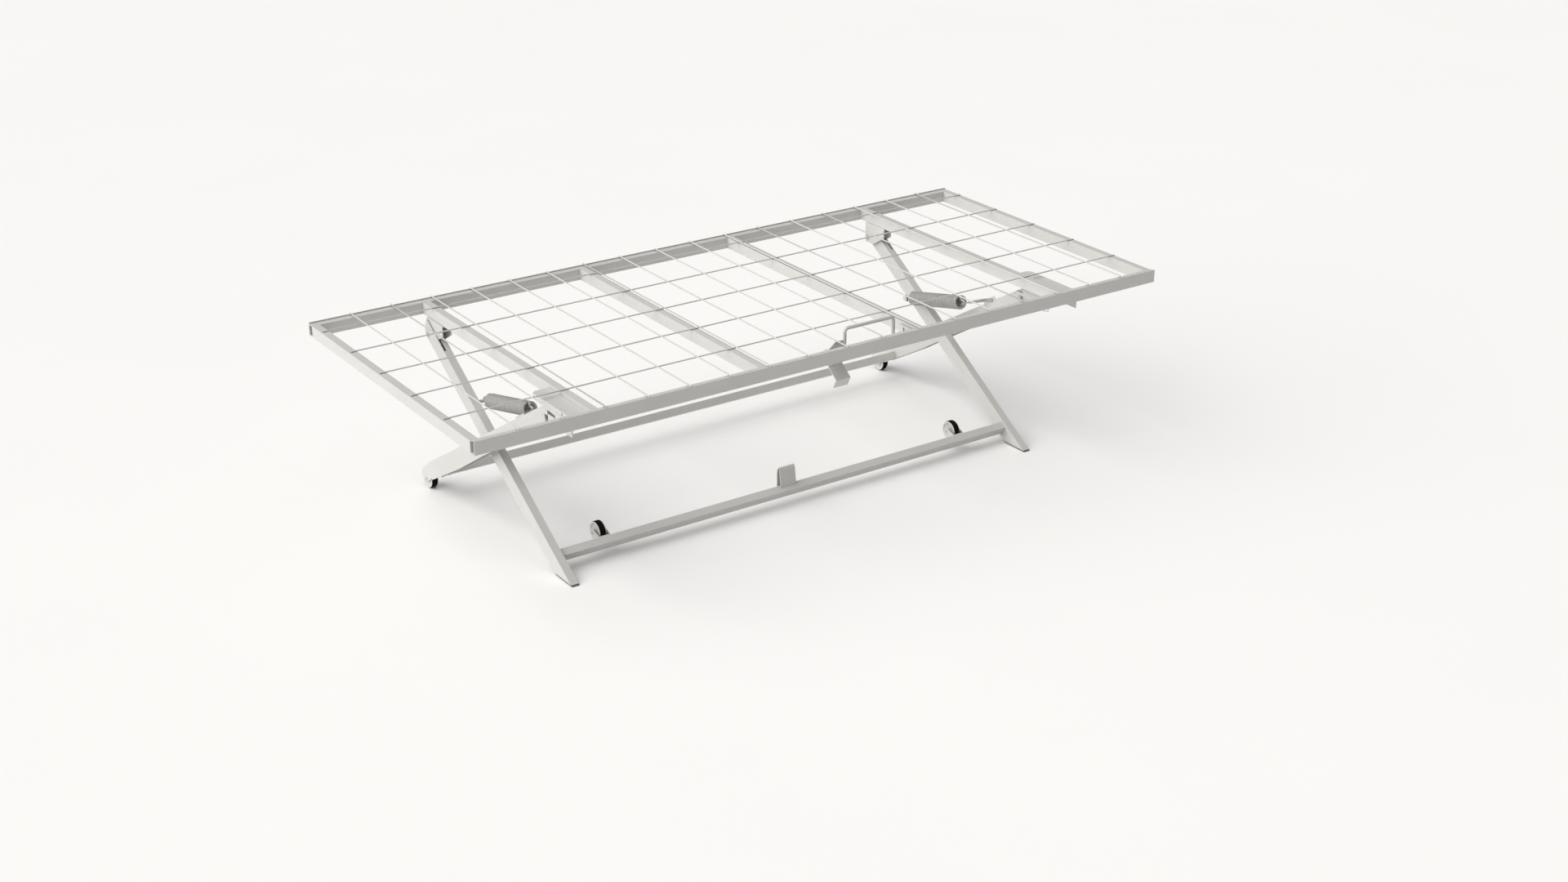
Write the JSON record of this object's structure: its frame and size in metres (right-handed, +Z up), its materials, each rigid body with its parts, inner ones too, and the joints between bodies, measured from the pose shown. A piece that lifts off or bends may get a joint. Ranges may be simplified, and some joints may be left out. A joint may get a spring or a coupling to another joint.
{
  "type": "rollaway bed",
  "caption": "Steel rollaway trundle bed frame with wire mesh deck, sprung scissor legs that fold flat, castors and a pull latch.",
  "frame": {"origin": "on the floor, under the middle of the deck, legs raised", "axes": "+X along the bed, +Y from the front rail with the latch to the back rail, +Z up"},
  "size_m": [1.9, 0.848, 0.4992],
  "materials": {
    "powder_coat": "satin",
    "plated_steel": "satin",
    "spring_steel": "satin",
    "tyre": "matte",
    "wheel_core": "matte",
    "foot_plastic": "matte"
  },
  "bodies": {
    "deck": {"back_rail": "powder_coat", "cross_member_1": "powder_coat", "cross_member_2": "powder_coat", "cross_member_3": "powder_coat", "cross_member_4": "powder_coat", "cross_wires": "powder_coat", "end_rail_left": "powder_coat", "end_rail_right": "powder_coat", "front_rail": "powder_coat", "hinge_bracket_left": "powder_coat", "hinge_bracket_right": "powder_coat", "hinge_pin_left": "plated_steel", "hinge_pin_right": "plated_steel", "hinge_spacers": "plated_steel", "latch_lugs": "powder_coat", "long_wires": "powder_coat", "slide_guide_left": "powder_coat", "slide_guide_right": "powder_coat"},
    "front_legs": {"foot_cap_left": "foot_plastic", "foot_cap_right": "foot_plastic", "front_axle_left": "plated_steel", "front_axle_right": "plated_steel", "front_castor_fork_left": "powder_coat", "front_castor_fork_right": "powder_coat", "front_cross_tube": "powder_coat", "front_leg_left": "powder_coat", "front_leg_right": "powder_coat", "latch_catch": "powder_coat", "scissor_bolt_left": "plated_steel", "scissor_bolt_right": "plated_steel", "scissor_nuts": "plated_steel", "scissor_spacers": "plated_steel", "spring_anchor_left": "powder_coat", "spring_anchor_right": "powder_coat"},
    "rear_legs": {"rear_axle_left": "plated_steel", "rear_axle_right": "plated_steel", "rear_castor_fork_left": "powder_coat", "rear_castor_fork_right": "powder_coat", "rear_cross_bar": "powder_coat", "rear_leg_left": "powder_coat", "rear_leg_right": "powder_coat", "slide_pin_left": "plated_steel", "slide_pin_right": "plated_steel"},
    "latch": {"latch_handle": "powder_coat", "latch_plate": "powder_coat", "latch_rod": "powder_coat"},
    "front_wheel_left": {"front_tyre_left": "tyre", "front_wheel_core_left": "wheel_core"},
    "front_wheel_right": {"front_tyre_right": "tyre", "front_wheel_core_right": "wheel_core"},
    "rear_wheel_left": {"rear_tyre_left": "tyre", "rear_wheel_core_left": "wheel_core"},
    "rear_wheel_right": {"rear_tyre_right": "tyre", "rear_wheel_core_right": "wheel_core"},
    "spring_left": {"spring_coil_left": "spring_steel"},
    "spring_right": {"spring_coil_right": "spring_steel"},
    "strap_left": {"spring_strap_left": "spring_steel"},
    "strap_right": {"spring_strap_right": "spring_steel"}
  },
  "joints": [
    {"name": "leg_fold", "type": "hinge", "parent": "deck", "child": "front_legs", "pos_m": [0, 0.371, 0.396], "axis": [-1, 0, 0], "range_deg": [0, 29.4], "stiffness_Nm_per_rad": 180, "springref_deg": -45.84},
    {"name": "scissor", "type": "hinge", "parent": "front_legs", "child": "rear_legs", "pos_m": [0, 0.069, 0.215], "axis": [-1, 0, 0], "range_deg": [-58.9, 0.1]},
    {"name": "spring_turn_left", "type": "hinge", "parent": "front_legs", "child": "spring_left", "pos_m": [-0.628, 0.167, 0.285], "axis": [-1, 0, 0], "range_deg": [-40.56, 0.1]},
    {"name": "spring_stretch_left", "type": "slide", "parent": "spring_left", "child": "strap_left", "axis": [0, -0.9715, 0.237], "range_m": [-0.0002, 0.05829]},
    {"name": "front_wheel_spin_left", "type": "hinge", "parent": "front_legs", "child": "front_wheel_left", "pos_m": [-0.53, -0.1771, 0.0519], "axis": [1, 0, 0], "continuous": true},
    {"name": "rear_wheel_spin_left", "type": "hinge", "parent": "rear_legs", "child": "rear_wheel_left", "pos_m": [-0.693, 0.368, 0.025], "axis": [1, 0, 0], "continuous": true},
    {"name": "spring_turn_right", "type": "hinge", "parent": "front_legs", "child": "spring_right", "pos_m": [0.628, 0.167, 0.285], "axis": [-1, 0, 0], "range_deg": [-40.56, 0.1]},
    {"name": "spring_stretch_right", "type": "slide", "parent": "spring_right", "child": "strap_right", "axis": [0, -0.9715, 0.237], "range_m": [-0.0002, 0.05829]},
    {"name": "front_wheel_spin_right", "type": "hinge", "parent": "front_legs", "child": "front_wheel_right", "pos_m": [0.512, -0.1771, 0.0519], "axis": [1, 0, 0], "continuous": true},
    {"name": "rear_wheel_spin_right", "type": "hinge", "parent": "rear_legs", "child": "rear_wheel_right", "pos_m": [0.693, 0.368, 0.025], "axis": [1, 0, 0], "continuous": true},
    {"name": "latch_turn", "type": "hinge", "parent": "deck", "child": "latch", "pos_m": [0, -0.375, 0.445], "axis": [1, 0, 0], "range_deg": [0, 35]}
  ],
  "couplings": [
    {"joint": "scissor", "follows": "leg_fold", "ratio": -2},
    {"joint": "spring_turn_left", "follows": "leg_fold", "ratio": -1.3763},
    {"joint": "spring_stretch_left", "follows": "leg_fold", "m_per_rad": 0.11321},
    {"joint": "spring_turn_right", "follows": "leg_fold", "ratio": -1.3763},
    {"joint": "spring_stretch_right", "follows": "leg_fold", "m_per_rad": 0.11321}
  ]
}
